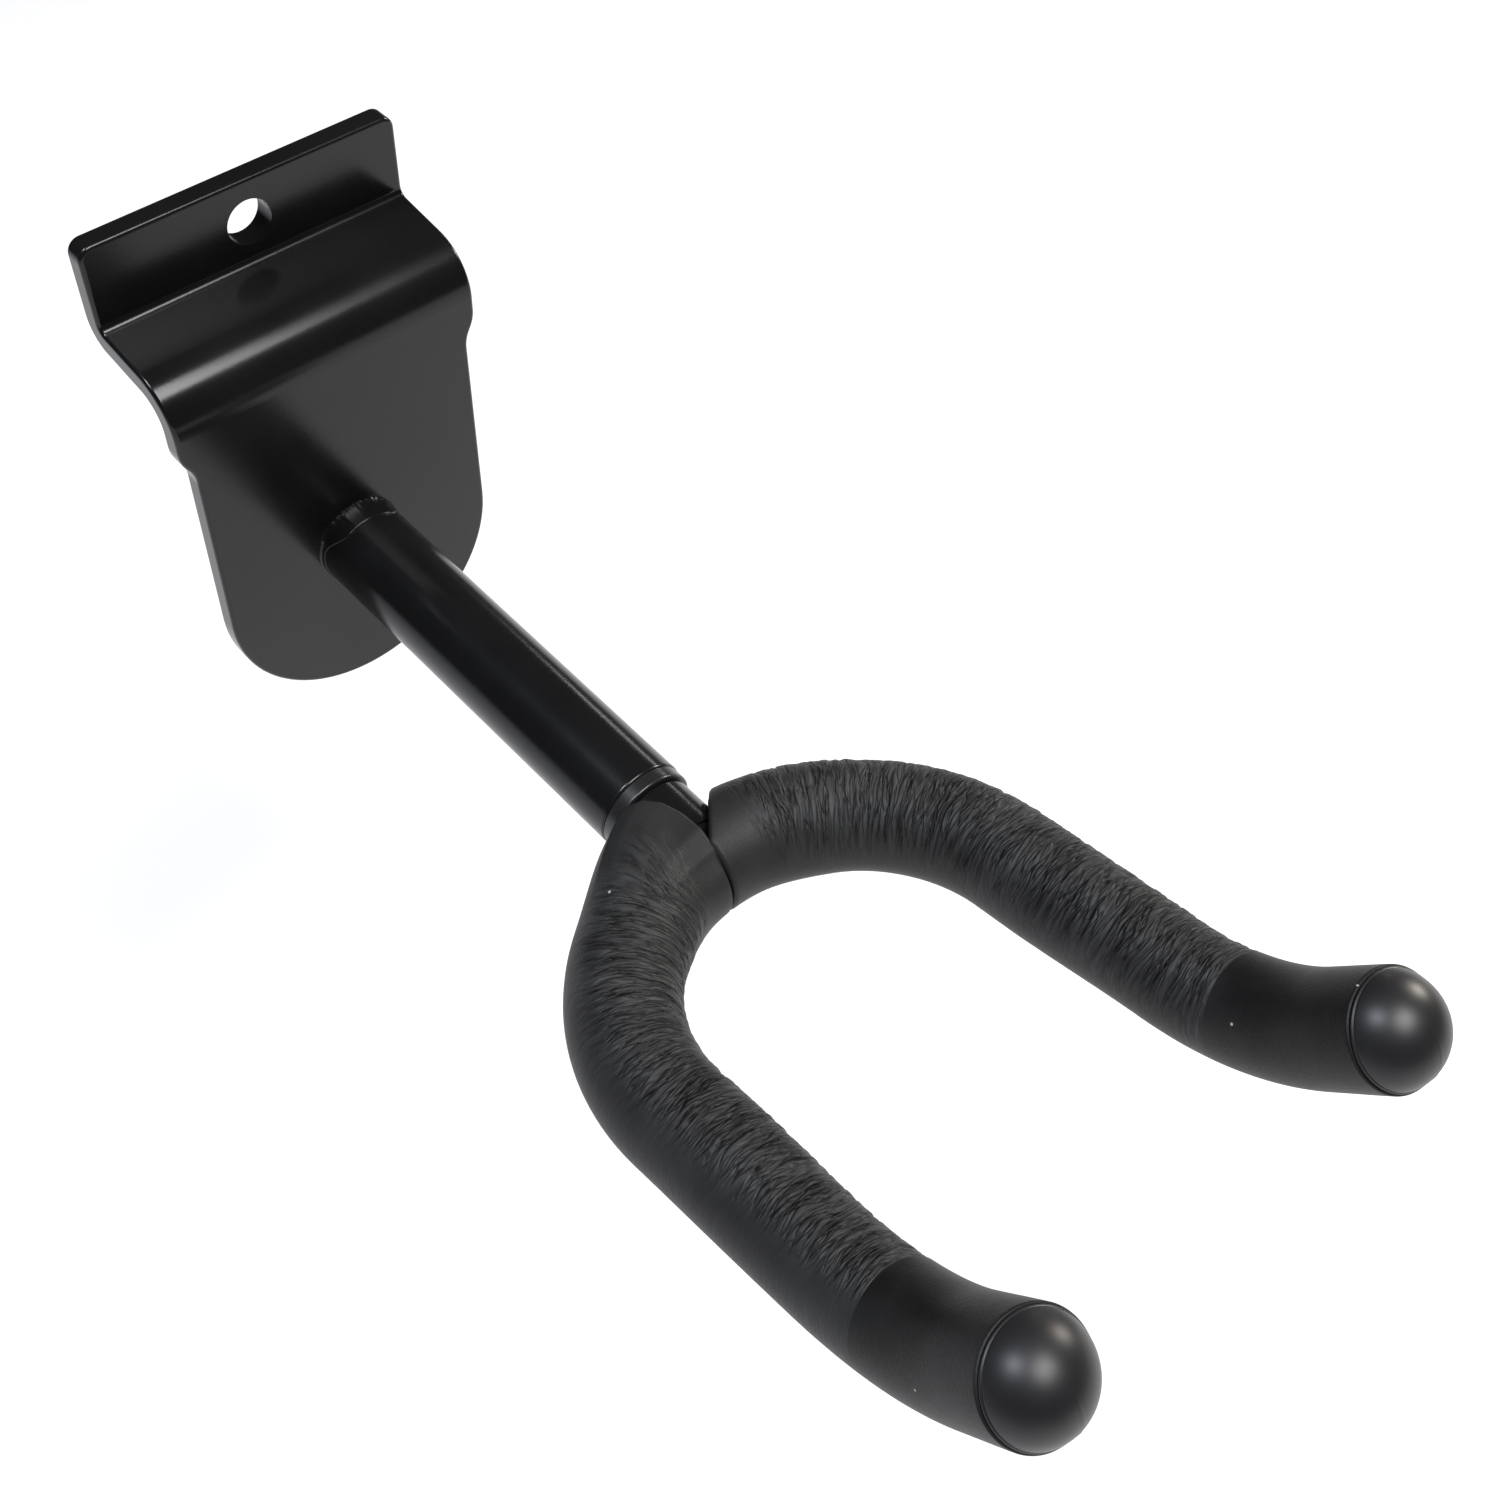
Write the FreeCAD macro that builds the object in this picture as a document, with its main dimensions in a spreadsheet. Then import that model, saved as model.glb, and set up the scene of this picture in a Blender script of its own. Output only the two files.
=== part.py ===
import FreeCAD, Part
import math
import os
import Sketcher

# Wall guitar hanger for slotted wall panels.
# The row frame: origin on the arm's axis, in the bracket's wall-bearing back face.
# +Z is up, the arm points along -Y, and X runs across the bracket.

Vector = FreeCAD.Vector

# alias, millimetres or degrees, what it is
SIZES = [
    ("sheet_thickness", 4.0, "bracket sheet"),
    ("lip_half_width", 28.4, "half the width of the lip and the step"),
    ("lip_top", 64.0, "height of the lip's top edge above the arm's axis"),
    ("lip_jog", 18.2, "lip's front face behind the face plate's front face"),
    ("lip_corner", 2.4, "corner radius of the lip"),
    ("step_height", 49.2, "height of the inside bend, where the lip meets the step"),
    ("step_slope", 8.0, "fall of the step towards the front, degrees"),
    ("inside_bend", 1.4, "radius of the inside bend, on the front side"),
    ("outside_bend", 9.0, "radius of the round front bend, on the front side"),
    ("waist_top", 36.0, "where the side edge starts to step in"),
    ("waist_bottom", 29.0, "where the side edge has stepped in"),
    ("waist_half_width", 26.4, "half the width at the waist"),
    ("foot_radius", 26.8, "round bottom of the face plate"),
    ("foot_drop", 5.3, "centre of the round bottom below the arm's axis"),
    ("edge_round", 0.7, "rounding of the sheet's edges"),
    ("screw_hole", 4.0, "radius of the wall screw's hole"),
    ("screw_height", 56.4, "height of the wall screw's hole"),
    ("tube_outer", 8.0, "outer radius of the arm tube"),
    ("tube_inner", 6.0, "bore radius of the arm tube"),
    ("tube_length", 77.0, "arm tube, from the face plate to its front end"),
    ("tube_lip_round", 0.6, "rounding of the tube's front edge"),
    ("weld_leg", 4.2, "weld bead along the tube"),
    ("weld_foot", 0.8, "weld bead along the face plate"),
    ("journal_radius", 5.0, "swivel stem inside the tube"),
    ("running_gap", 0.05, "radial clearance of the running fits"),
    ("flange_radius", 7.8, "flange of the front bush"),
    ("flange_thickness", 2.3, "flange of the front bush"),
    ("flange_round", 0.4, "rounding of the flange's edge"),
    ("front_bush_length", 12.0, "barrel of the front bush"),
    ("rear_bush_length", 10.0, "rear bush"),
    ("rear_bush_start", 20.0, "rear bush's back end in front of the wall face"),
    ("stem_start", 14.0, "stem's back end in front of the wall face"),
    ("stem_head", 7.1, "radius of the stem's visible head"),
    ("end_play", 0.1, "axial play between the stem's shoulder and the flange"),
    ("stem_round", 0.5, "rounding of the stem's shoulder and ends"),
    ("stem_reach", 91.0, "rod's centre line in front of the face plate"),
    ("head_overlap", 2.0, "head's front end behind the rod's centre line"),
    ("ring_start", 15.6, "retaining ring's back side in front of the wall face"),
    ("ring_width", 1.2, "retaining ring along the axis"),
    ("ring_outer", 6.7, "outer radius of the retaining ring, in the tube's groove"),
    ("ring_inner", 4.4, "inner radius of the retaining ring"),
    ("ring_slack", 0.1, "play of the stem's groove round the ring"),
    ("ring_gap", 2.4, "opening of the retaining ring"),
    ("oring_centre", 42.0, "rubber ring in front of the wall face"),
    ("oring_cord", 1.0, "cord radius of the rubber ring"),
    ("rod_radius", 4.0, "yoke rod"),
    ("yoke_radius", 33.8, "bend radius of the yoke's back, at the rod's centre"),
    ("arm_straight", 30.6, "straight stretch of each arm"),
    ("tip_radius", 39.0, "bend radius of the upturned tips"),
    ("tip_angle", 42.6, "upward turn of the tips, degrees"),
    ("tip_straight", 8.6, "straight stretch of each tip, up to the cap's centre"),
    ("yoke_pitch", 9.7, "upward tilt of the yoke, degrees"),
    ("foam_radius", 8.5, "outer radius of the foam sleeves"),
    ("foam_gap", 0.05, "foam's bore round the rod"),
    ("foam_meet", 0.15, "half the gap where the sleeves meet in front of the stem"),
    ("foam_lean", 38.0, "lean of the sleeves' cut ends beside the stem, degrees"),
    ("foam_lean_start", 4.2, "where the cut ends start to lean, in front of the rod's centre"),
    ("stem_gap", 0.1, "foam's clearance round the stem's head and welds"),
    ("cap_radius", 8.5, "dome of the end cap"),
    ("cap_base", 2.4, "cap's base, and the sleeve's end, in front of the dome's centre"),
    ("cap_socket", 5.4, "rod end in front of the dome's centre"),
    ("bead_radius", 6.6, "outer radius of the weld beads on the rod"),
    ("bead_length", 2.6, "weld beads along the axis"),
]

doc = FreeCAD.newDocument("wall_guitar_hanger")


def make_sheet():
    sheet = doc.addObject("Spreadsheet::Sheet", "dims")
    for row, (alias, value, note) in enumerate(SIZES, start=1):
        sheet.set(f"A{row}", alias)
        sheet.set(f"B{row}", str(value))
        sheet.setAlias(f"B{row}", alias)
        sheet.set(f"C{row}", note)
    doc.recompute()
    return sheet


dims = make_sheet()


def size(alias):
    return float(dims.get(alias))


def evaluate(text):
    """Number that a spreadsheet expression gives."""
    result = dims.evalExpression(text)
    return float(getattr(result, "Value", result))


def new_body(name):
    body = doc.addObject("PartDesign::Body", name)
    body.Label = name
    return body


def origin_plane(body, role):
    for feature in body.Origin.OriginFeatures:
        if feature.Role == role:
            return feature
    raise ValueError(role)


def new_sketch(body, name, role):
    sketch = body.newObject("Sketcher::SketchObject", name)
    sketch.AttachmentSupport = [(origin_plane(body, role), "")]
    sketch.MapMode = "FlatFace"
    return sketch


def pin_point(sketch, geometry, point, across, up):
    """Place a sketch point by two expressions measured from the sketch's origin."""
    for kind, axis, text in (("DistanceX", -2, across), ("DistanceY", -1, up)):
        if text == "0":
            sketch.addConstraint(Sketcher.Constraint("PointOnObject", geometry, point, axis))
        else:
            number = evaluate(text)
            index = sketch.addConstraint(Sketcher.Constraint(kind, geometry, point, number))
            sketch.setExpression(f"Constraints[{index}]", text)


def arc_between(start, end, radius, turn):
    """Minor arc from start to end; turn is +1 anticlockwise, -1 clockwise."""
    chord = end.sub(start)
    half = chord.Length / 2
    rise = math.sqrt(max(radius * radius - half * half, 0.0))
    normal = Vector(-chord.y, chord.x, 0).normalize()
    centre = start + chord * 0.5 + normal * (rise * turn)
    first, last = (start, end) if turn > 0 else (end, start)
    angle_a = math.atan2(first.y - centre.y, first.x - centre.x)
    angle_b = math.atan2(last.y - centre.y, last.x - centre.x)
    return Part.ArcOfCircle(Part.Circle(centre, Vector(0, 0, 1), radius), angle_a, angle_b)


def draw(sketch, corners, closed=True):
    """Lines and arcs through corners. A corner is (across, up), or (across, up, radius, turn)
    where an arc leaves it. Every corner and radius is an expression of the sheet."""
    points = [Vector(evaluate(corner[0]), evaluate(corner[1]), 0) for corner in corners]
    count = len(corners) if closed else len(corners) - 1
    ends = []
    for i in range(count):
        start = points[i]
        end = points[(i + 1) % len(points)]
        if len(corners[i]) == 4:
            radius_text, turn = corners[i][2:]
            geometry = sketch.addGeometry(arc_between(start, end, evaluate(radius_text), turn))
            index = sketch.addConstraint(Sketcher.Constraint("Radius", geometry, evaluate(radius_text)))
            sketch.setExpression(f"Constraints[{index}]", radius_text)
            ends.append((geometry, 1, 2) if turn > 0 else (geometry, 2, 1))
        else:
            ends.append((sketch.addGeometry(Part.LineSegment(start, end)), 1, 2))
    for i, (geometry, first, last) in enumerate(ends):
        pin_point(sketch, geometry, first, corners[i][0], corners[i][1])
        if i + 1 < len(ends):
            following, following_first, _ = ends[i + 1]
        elif closed:
            following, following_first, _ = ends[0]
        else:
            pin_point(sketch, geometry, last, corners[-1][0], corners[-1][1])
            continue
        sketch.addConstraint(Sketcher.Constraint("Coincident", geometry, last, following, following_first))


def draw_circle(sketch, across, up, radius):
    centre = Vector(evaluate(across), evaluate(up), 0)
    geometry = sketch.addGeometry(Part.Circle(centre, Vector(0, 0, 1), evaluate(radius)))
    pin_point(sketch, geometry, 3, across, up)
    index = sketch.addConstraint(Sketcher.Constraint("Radius", geometry, evaluate(radius)))
    sketch.setExpression(f"Constraints[{index}]", radius)


def turned(name, corners):
    """A body turned about the arm's axis; corners are (radius, distance along Y)."""
    body = new_body(name)
    sketch = new_sketch(body, name + "_profile", "XY_Plane")
    draw(sketch, corners)
    turning = body.newObject("PartDesign::Revolution", name + "_turning")
    turning.Profile = sketch
    turning.ReferenceAxis = (sketch, ["V_Axis"])
    turning.Angle = 360
    sketch.Visibility = False
    return body


def cut_through(body, name, sketch):
    """Pocket both ways through the body."""
    pocket = body.newObject("PartDesign::Pocket", name)
    pocket.Profile = sketch
    pocket.SideType = "Symmetric"
    pocket.Length = 400
    sketch.Visibility = False
    return pocket


def round_edges(body, name, radius, wanted):
    """Fillet the edges of the body's tip for which wanted(edge) is true."""
    doc.recompute()
    tip = body.Tip
    names = [f"Edge{i}" for i, edge in enumerate(tip.Shape.Edges, start=1) if wanted(edge)]
    fillet = body.newObject("PartDesign::Fillet", name)
    fillet.Base = (tip, names)
    fillet.setExpression("Radius", radius)
    return fillet


def edge_middle(edge):
    return edge.valueAt((edge.FirstParameter + edge.LastParameter) / 2)


# --- bracket ---------------------------------------------------------------------------------


def bend_line(edge, depth, height):
    """True for an edge that runs across the sheet at the given Y and Z."""
    middle = edge_middle(edge)
    start, end = edge.Vertexes[0].Point, edge.Vertexes[-1].Point
    across = abs(start.x - end.x) > size("lip_half_width")
    return across and abs(middle.y - depth) < 0.05 and abs(middle.z - height) < 0.05


def make_bracket():
    body = new_body("wall_bracket")

    # Section of the bent sheet, with sharp bends: front side first, then the back side.
    thick = "dims.sheet_thickness"
    lean = "tan(dims.step_slope * 1deg)"
    skew = "dims.sheet_thickness / cos(dims.step_slope * 1deg)"
    lip_front = "(dims.lip_jog - dims.sheet_thickness)"
    front_bend = f"dims.step_height - dims.lip_jog * {lean}"
    back_inside = f"dims.step_height - {skew} + dims.sheet_thickness * {lean}"
    back_outside = f"{front_bend} - {skew} + dims.sheet_thickness * {lean}"
    bottom = "-dims.foot_radius - dims.foot_drop"
    section = new_sketch(body, "bracket_section", "YZ_Plane")
    draw(section, [
        (lip_front, "dims.lip_top"),
        (lip_front, "dims.step_height"),
        (f"-{thick}", front_bend),
        (f"-{thick}", bottom),
        ("0", bottom),
        ("0", back_outside),
        ("dims.lip_jog", back_inside),
        ("dims.lip_jog", "dims.lip_top"),
    ])
    pad = body.newObject("PartDesign::Pad", "bracket_sheet")
    pad.Profile = section
    pad.SideType = "Symmetric"
    pad.setExpression("Length", "2 * dims.lip_half_width")
    section.Visibility = False

    bends = [
        (lip_front, "dims.step_height", "dims.inside_bend"),
        ("dims.lip_jog", back_inside, f"dims.inside_bend + {thick}"),
        (f"-{thick}", front_bend, "dims.outside_bend"),
        ("0", back_outside, f"dims.outside_bend - {thick}"),
    ]
    for i, (depth, height, radius) in enumerate(bends, start=1):
        at_depth, at_height = evaluate(depth), evaluate(height)
        round_edges(body, f"bend_{i}", radius, lambda edge: bend_line(edge, at_depth, at_height))

    # Everything outside the blank's outline is cut away, seen from the front.
    outline = new_sketch(body, "bracket_outline", "XZ_Plane")
    wide, waist, corner = "dims.lip_half_width", "dims.waist_half_width", "dims.lip_corner"
    middle = f"({wide} + {waist}) / 2"
    waist_middle = "(dims.waist_top + dims.waist_bottom) / 2"
    step_in = f"({wide} - {waist}) / 2"
    step_down = "(dims.waist_top - dims.waist_bottom) / 2"
    step_arc = f"({step_in} * {step_in} + {step_down} * {step_down}) / (2 * {step_in})"
    foot = "dims.foot_radius"
    right = [
        (f"{wide} - {corner}", "dims.lip_top", corner, -1),
        (wide, f"dims.lip_top - {corner}"),
        (wide, "dims.waist_top", step_arc, -1),
        (middle, waist_middle, step_arc, 1),
        (waist, "dims.waist_bottom"),
        (foot, "-dims.foot_drop", foot, -1),
        ("0", "-dims.foot_drop - dims.foot_radius", foot, -1),
    ]
    left = [
        (f"-{foot}", "-dims.foot_drop"),
        (f"-{waist}", "dims.waist_bottom", step_arc, 1),
        (f"-({middle})", waist_middle, step_arc, -1),
        (f"-{wide}", "dims.waist_top"),
        (f"-{wide}", f"dims.lip_top - {corner}", corner, -1),
        (f"-({wide} - {corner})", "dims.lip_top"),
    ]
    draw(outline, right + left)
    margin = "dims.sheet_thickness"
    low = f"-dims.foot_drop - dims.foot_radius - {margin}"
    high = f"dims.lip_top + {margin}"
    draw(outline, [
        (f"-{wide} - {margin}", low),
        (f"{wide} + {margin}", low),
        (f"{wide} + {margin}", high),
        (f"-{wide} - {margin}", high),
    ])
    cut_through(body, "bracket_blank", outline)

    # Rounded rims, on the front and the back side of the sheet.
    foot_centre = -size("foot_drop")

    def on_rim(edge):
        middle_point = edge_middle(edge)
        start, end = edge.Vertexes[0].Point, edge.Vertexes[-1].Point
        through = edge.Length < size("sheet_thickness") * 1.1 and abs(start.y - end.y) > 1.5
        height = middle_point.z - foot_centre
        if height < 0:
            outer = math.hypot(middle_point.x, height) > size("foot_radius") - 0.1
        else:
            outer = abs(middle_point.x) > size("waist_half_width") - 0.1
        return not through and (outer or middle_point.z > size("lip_top") - size("lip_corner"))

    round_edges(body, "bracket_rim", "dims.edge_round", on_rim)

    hole = new_sketch(body, "screw_hole", "XZ_Plane")
    draw_circle(hole, "0", "dims.screw_height", "dims.screw_hole")
    cut_through(body, "screw_hole_cut", hole)
    return body


# --- fixed arm -------------------------------------------------------------------------------


FACE = "dims.sheet_thickness"
TUBE_END = "(dims.sheet_thickness + dims.tube_length)"
ROD_LINE = "(dims.sheet_thickness + dims.stem_reach)"


def make_tube():
    groove_front = "(dims.ring_start + dims.ring_width)"
    rounding = "dims.tube_lip_round"
    return turned("arm_tube", [
        ("dims.tube_inner", f"-{FACE}"),
        ("dims.tube_inner", "-dims.ring_start"),
        ("dims.ring_outer", "-dims.ring_start"),
        ("dims.ring_outer", f"-{groove_front}"),
        ("dims.tube_inner", f"-{groove_front}"),
        ("dims.tube_inner", f"-{TUBE_END}"),
        (f"dims.tube_outer - {rounding}", f"-{TUBE_END}", rounding, 1),
        ("dims.tube_outer", f"-{TUBE_END} + {rounding}"),
        ("dims.tube_outer", f"-{FACE}"),
    ])


def make_tube_weld():
    return turned("tube_weld", [
        ("dims.tube_outer", f"-{FACE}"),
        ("dims.tube_outer", f"-{FACE} - dims.weld_leg", "2 * dims.weld_leg", -1),
        ("dims.tube_outer + dims.weld_foot", f"-{FACE}"),
    ])


def make_front_bush():
    flange_end = f"({TUBE_END} + dims.flange_thickness)"
    rounding = "dims.flange_round"
    bore = "dims.journal_radius + dims.running_gap"
    return turned("front_bush", [
        (bore, f"-{TUBE_END} + dims.front_bush_length"),
        (bore, f"-{flange_end}"),
        (f"dims.flange_radius - {rounding}", f"-{flange_end}", rounding, 1),
        ("dims.flange_radius", f"-{flange_end} + {rounding}"),
        ("dims.flange_radius", f"-{TUBE_END}"),
        ("dims.tube_inner", f"-{TUBE_END}"),
        ("dims.tube_inner", f"-{TUBE_END} + dims.front_bush_length"),
    ])


def make_rear_bush():
    bore = "dims.journal_radius + dims.running_gap"
    return turned("rear_bush", [
        (bore, "-dims.rear_bush_start"),
        (bore, "-dims.rear_bush_start - dims.rear_bush_length"),
        ("dims.tube_inner", "-dims.rear_bush_start - dims.rear_bush_length"),
        ("dims.tube_inner", "-dims.rear_bush_start"),
    ])


def make_retaining_ring():
    body = turned("retaining_ring", [
        ("dims.ring_inner", "-dims.ring_start"),
        ("dims.ring_inner", "-dims.ring_start - dims.ring_width"),
        ("dims.ring_outer", "-dims.ring_start - dims.ring_width"),
        ("dims.ring_outer", "-dims.ring_start"),
    ])
    opening = new_sketch(body, "ring_opening", "XZ_Plane")
    draw(opening, [
        ("-dims.ring_gap / 2", "0"),
        ("dims.ring_gap / 2", "0"),
        ("dims.ring_gap / 2", "2 * dims.ring_outer"),
        ("-dims.ring_gap / 2", "2 * dims.ring_outer"),
    ])
    cut_through(body, "ring_opening_cut", opening)
    return body


# --- turning yoke ----------------------------------------------------------------------------


def yoke_placement():
    """The yoke is drawn flat, arms along -Y, and tilted up about the rod's middle."""
    base = Vector(0, -evaluate(ROD_LINE), 0)
    return FreeCAD.Placement(base, FreeCAD.Rotation(Vector(1, 0, 0), -size("yoke_pitch")))


def sweep_arm(body, radii, tip_length):
    """Sweep circles of the given radii along the right arm: back bend, straight and tip."""
    ends = "-(dims.yoke_radius + dims.arm_straight)"
    back_path = new_sketch(body, body.Name + "_back_path", "XY_Plane")
    draw(back_path, [
        ("0", "0", "dims.yoke_radius", -1),
        ("dims.yoke_radius", "-dims.yoke_radius"),
        ("dims.yoke_radius", ends),
    ], closed=False)
    back_profile = new_sketch(body, body.Name + "_back_profile", "YZ_Plane")

    # The tip's path lies in a plane beside the yoke's middle plane.
    rise = "dims.tip_radius * (1 - cos(dims.tip_angle * 1deg))"
    reach = "dims.tip_radius * sin(dims.tip_angle * 1deg)"
    tip_path = new_sketch(body, body.Name + "_tip_path", "YZ_Plane")
    tip_path.setExpression("AttachmentOffset.Base.z", "dims.yoke_radius")
    draw(tip_path, [
        (ends, "0", "dims.tip_radius", -1),
        (f"{ends} - {reach}", rise),
        (f"{ends} - {reach} - ({tip_length}) * cos(dims.tip_angle * 1deg)",
         f"{rise} + ({tip_length}) * sin(dims.tip_angle * 1deg)"),
    ], closed=False)
    tip_profile = new_sketch(body, body.Name + "_tip_profile", "XZ_Plane")
    tip_profile.setExpression("AttachmentOffset.Base.x", "dims.yoke_radius")
    tip_profile.setExpression("AttachmentOffset.Base.z", "dims.yoke_radius + dims.arm_straight")

    pipes = []
    for name, path, profile in (("back", back_path, back_profile), ("tip", tip_path, tip_profile)):
        for radius in radii:
            draw_circle(profile, "0", "0", radius)
        pipe = body.newObject("PartDesign::AdditivePipe", f"{body.Name}_{name}")
        pipe.Profile = profile
        pipe.Spine = path
        doc.recompute()
        pipes.append(pipe)
        path.Visibility = False
        profile.Visibility = False
    return pipes


def make_rod():
    body = new_body("yoke_rod")
    pipes = sweep_arm(body, ["dims.rod_radius"], "dims.tip_straight + dims.cap_socket")
    mirror = body.newObject("PartDesign::Mirrored", "yoke_rod_left_arm")
    mirror.Originals = pipes
    mirror.MirrorPlane = (origin_plane(body, "YZ_Plane"), [""])
    body.Tip = mirror
    body.Placement = yoke_placement()
    return body


def make_stem(rod):
    """Turned stem, coped to sit on the back of the rod."""
    groove_back = "(dims.ring_start - dims.ring_slack)"
    groove_front = "(dims.ring_start + dims.ring_width + dims.ring_slack)"
    groove_floor = "dims.ring_inner - dims.ring_slack"
    seat_back = "(dims.oring_centre - dims.oring_cord - dims.ring_slack)"
    seat_front = "(dims.oring_centre + dims.oring_cord + dims.ring_slack)"
    seat_floor = "dims.tube_inner - dims.running_gap - 2 * dims.oring_cord"
    shoulder = f"({TUBE_END} + dims.flange_thickness + dims.end_play)"
    head_end = f"({ROD_LINE} - dims.head_overlap)"
    journal, head, rounding = "dims.journal_radius", "dims.stem_head", "dims.stem_round"
    blank = turned("stem_blank", [
        ("0", "-dims.stem_start"),
        (f"{journal} - {rounding}", "-dims.stem_start"),
        (journal, f"-dims.stem_start - {rounding}"),
        (journal, f"-{groove_back}"),
        (groove_floor, f"-{groove_back}"),
        (groove_floor, f"-{groove_front}"),
        (journal, f"-{groove_front}"),
        (journal, f"-{seat_back}"),
        (seat_floor, f"-{seat_back}"),
        (seat_floor, f"-{seat_front}"),
        (journal, f"-{seat_front}"),
        (journal, f"-{shoulder}"),
        (f"{head} - {rounding}", f"-{shoulder}", rounding, -1),
        (head, f"-{shoulder} - {rounding}"),
        (head, f"-{head_end}"),
        ("0", f"-{head_end}"),
    ])
    stem = doc.addObject("Part::Cut", "swivel_stem")
    stem.Label = "swivel_stem"
    stem.Base = blank
    stem.Tool = rod
    return stem


def make_friction_ring():
    """Rubber ring round the stem; it touches neither the tube nor the groove's sides."""
    ring = doc.addObject("Part::Torus", "friction_ring")
    ring.Label = "friction_ring"
    ring.setExpression("Radius1", "dims.tube_inner - dims.running_gap - dims.oring_cord")
    ring.setExpression("Radius2", "dims.oring_cord")
    axis_along_y = FreeCAD.Rotation(Vector(0, 0, 1), Vector(0, 1, 0))
    ring.Placement = FreeCAD.Placement(Vector(0, -size("oring_centre"), 0), axis_along_y)
    return ring


def make_yoke_welds(rod):
    """One bead above and one below the rod, on the end of the stem's head."""
    head_end = f"({ROD_LINE} - dims.head_overlap)"
    bead = turned("weld_blank", [
        ("0", f"-{head_end}"),
        ("0", f"-{head_end} - dims.bead_length"),
        ("dims.bead_radius - dims.bead_length", f"-{head_end} - dims.bead_length", "dims.bead_length", 1),
        ("dims.bead_radius", f"-{head_end}"),
    ])
    welds = doc.addObject("Part::Cut", "yoke_welds")
    welds.Label = "yoke_welds"
    welds.Base = bead
    welds.Tool = rod
    return welds


def make_sleeves():
    """Foam sleeves: round outside, bored for the rod. Their ends meet squarely in front of the
    stem and lean away beside it."""
    body = new_body("sleeve_tube")
    sleeve_end = "dims.tip_straight + dims.cap_base"
    sweep_arm(body, ["dims.foam_radius", "dims.rod_radius + dims.foam_gap"], sleeve_end)
    cut = new_sketch(body, "sleeve_cut", "XY_Plane")
    deep = "2 * dims.foam_radius"
    lean = "tan(dims.foam_lean * 1deg)"
    draw(cut, [
        ("dims.foam_meet", f"-{deep}"),
        ("dims.foam_meet", "-dims.foam_lean_start"),
        (f"dims.foam_meet + ({deep} + dims.foam_lean_start) * {lean}", deep),
        (f"-{deep}", deep),
        (f"-{deep}", f"-{deep}"),
    ])
    cut_through(body, "sleeve_end_cut", cut)
    body.Placement = yoke_placement()

    stem_space = doc.addObject("Part::Cylinder", "stem_space")
    stem_space.setExpression("Radius", "dims.stem_head + dims.stem_gap")
    stem_space.setExpression("Height", "dims.head_overlap + 4 * dims.bead_length")
    depth = evaluate(f"{ROD_LINE} - dims.head_overlap + dims.bead_length + dims.stem_gap")
    backwards = FreeCAD.Rotation(Vector(0, 0, 1), Vector(0, 1, 0))
    stem_space.Placement = FreeCAD.Placement(Vector(0, -depth, 0), backwards)

    right = doc.addObject("Part::Cut", "foam_sleeve_right")
    right.Label = "foam_sleeve_right"
    right.Base = body
    right.Tool = stem_space
    return right, mirrored("foam_sleeve_left", right)


def mirrored(name, source):
    copy = doc.addObject("Part::Mirroring", name)
    copy.Label = name
    copy.Source = source
    copy.Normal = Vector(1, 0, 0)
    return copy


def make_caps():
    """Domed caps, drawn with their axis along Y and the dome towards -Y."""
    rim = "sqrt(dims.cap_radius * dims.cap_radius - dims.cap_base * dims.cap_base)"
    body = turned("end_cap_right", [
        ("dims.rod_radius + dims.foam_gap", "-dims.cap_base"),
        ("dims.rod_radius + dims.foam_gap", "-dims.cap_socket"),
        ("0", "-dims.cap_socket"),
        ("0", "-dims.cap_radius", "dims.cap_radius", 1),
        (rim, "-dims.cap_base"),
    ])
    turn = math.radians(size("tip_angle"))
    reach = size("yoke_radius") + size("arm_straight") + size("tip_radius") * math.sin(turn)
    reach += size("tip_straight") * math.cos(turn)
    rise = size("tip_radius") * (1 - math.cos(turn)) + size("tip_straight") * math.sin(turn)
    centre = Vector(size("yoke_radius"), -reach, rise)
    tilt = FreeCAD.Rotation(Vector(1, 0, 0), -size("tip_angle"))
    body.Placement = yoke_placement().multiply(FreeCAD.Placement(centre, tilt))
    return body, mirrored("end_cap_left", body)


def main():
    yoke_rod = make_rod()
    doc.recompute()
    parts = [
        make_bracket(),
        make_tube(),
        make_tube_weld(),
        make_front_bush(),
        make_rear_bush(),
        make_retaining_ring(),
        make_stem(yoke_rod),
        make_friction_ring(),
        yoke_rod,
        make_yoke_welds(yoke_rod),
        *make_sleeves(),
        *make_caps(),
    ]
    doc.recompute()
    for item in doc.Objects:
        if "Invalid" in item.State or "Error" in item.State:
            raise RuntimeError(f"{item.Name} failed: {item.State}")
    for part in parts:
        if part.Shape.isNull() or not part.Shape.isValid():
            raise RuntimeError(f"{part.Label} has no valid shape")
    os.makedirs("parts", exist_ok=True)
    for part in parts:
        part.Shape.exportStep(f"parts/{part.Label}.step")
        box = part.Shape.BoundBox
        print(f"{part.Label:20s} {len(part.Shape.Solids)} solid, {part.Shape.Volume:9.1f} mm3, "
              f"X {box.XMin:7.2f} {box.XMax:7.2f} Y {box.YMin:7.2f} {box.YMax:7.2f} "
              f"Z {box.ZMin:7.2f} {box.ZMax:7.2f}")


main()
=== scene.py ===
import math

import bmesh
import bpy
from mathutils import Matrix, Vector, noise


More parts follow.
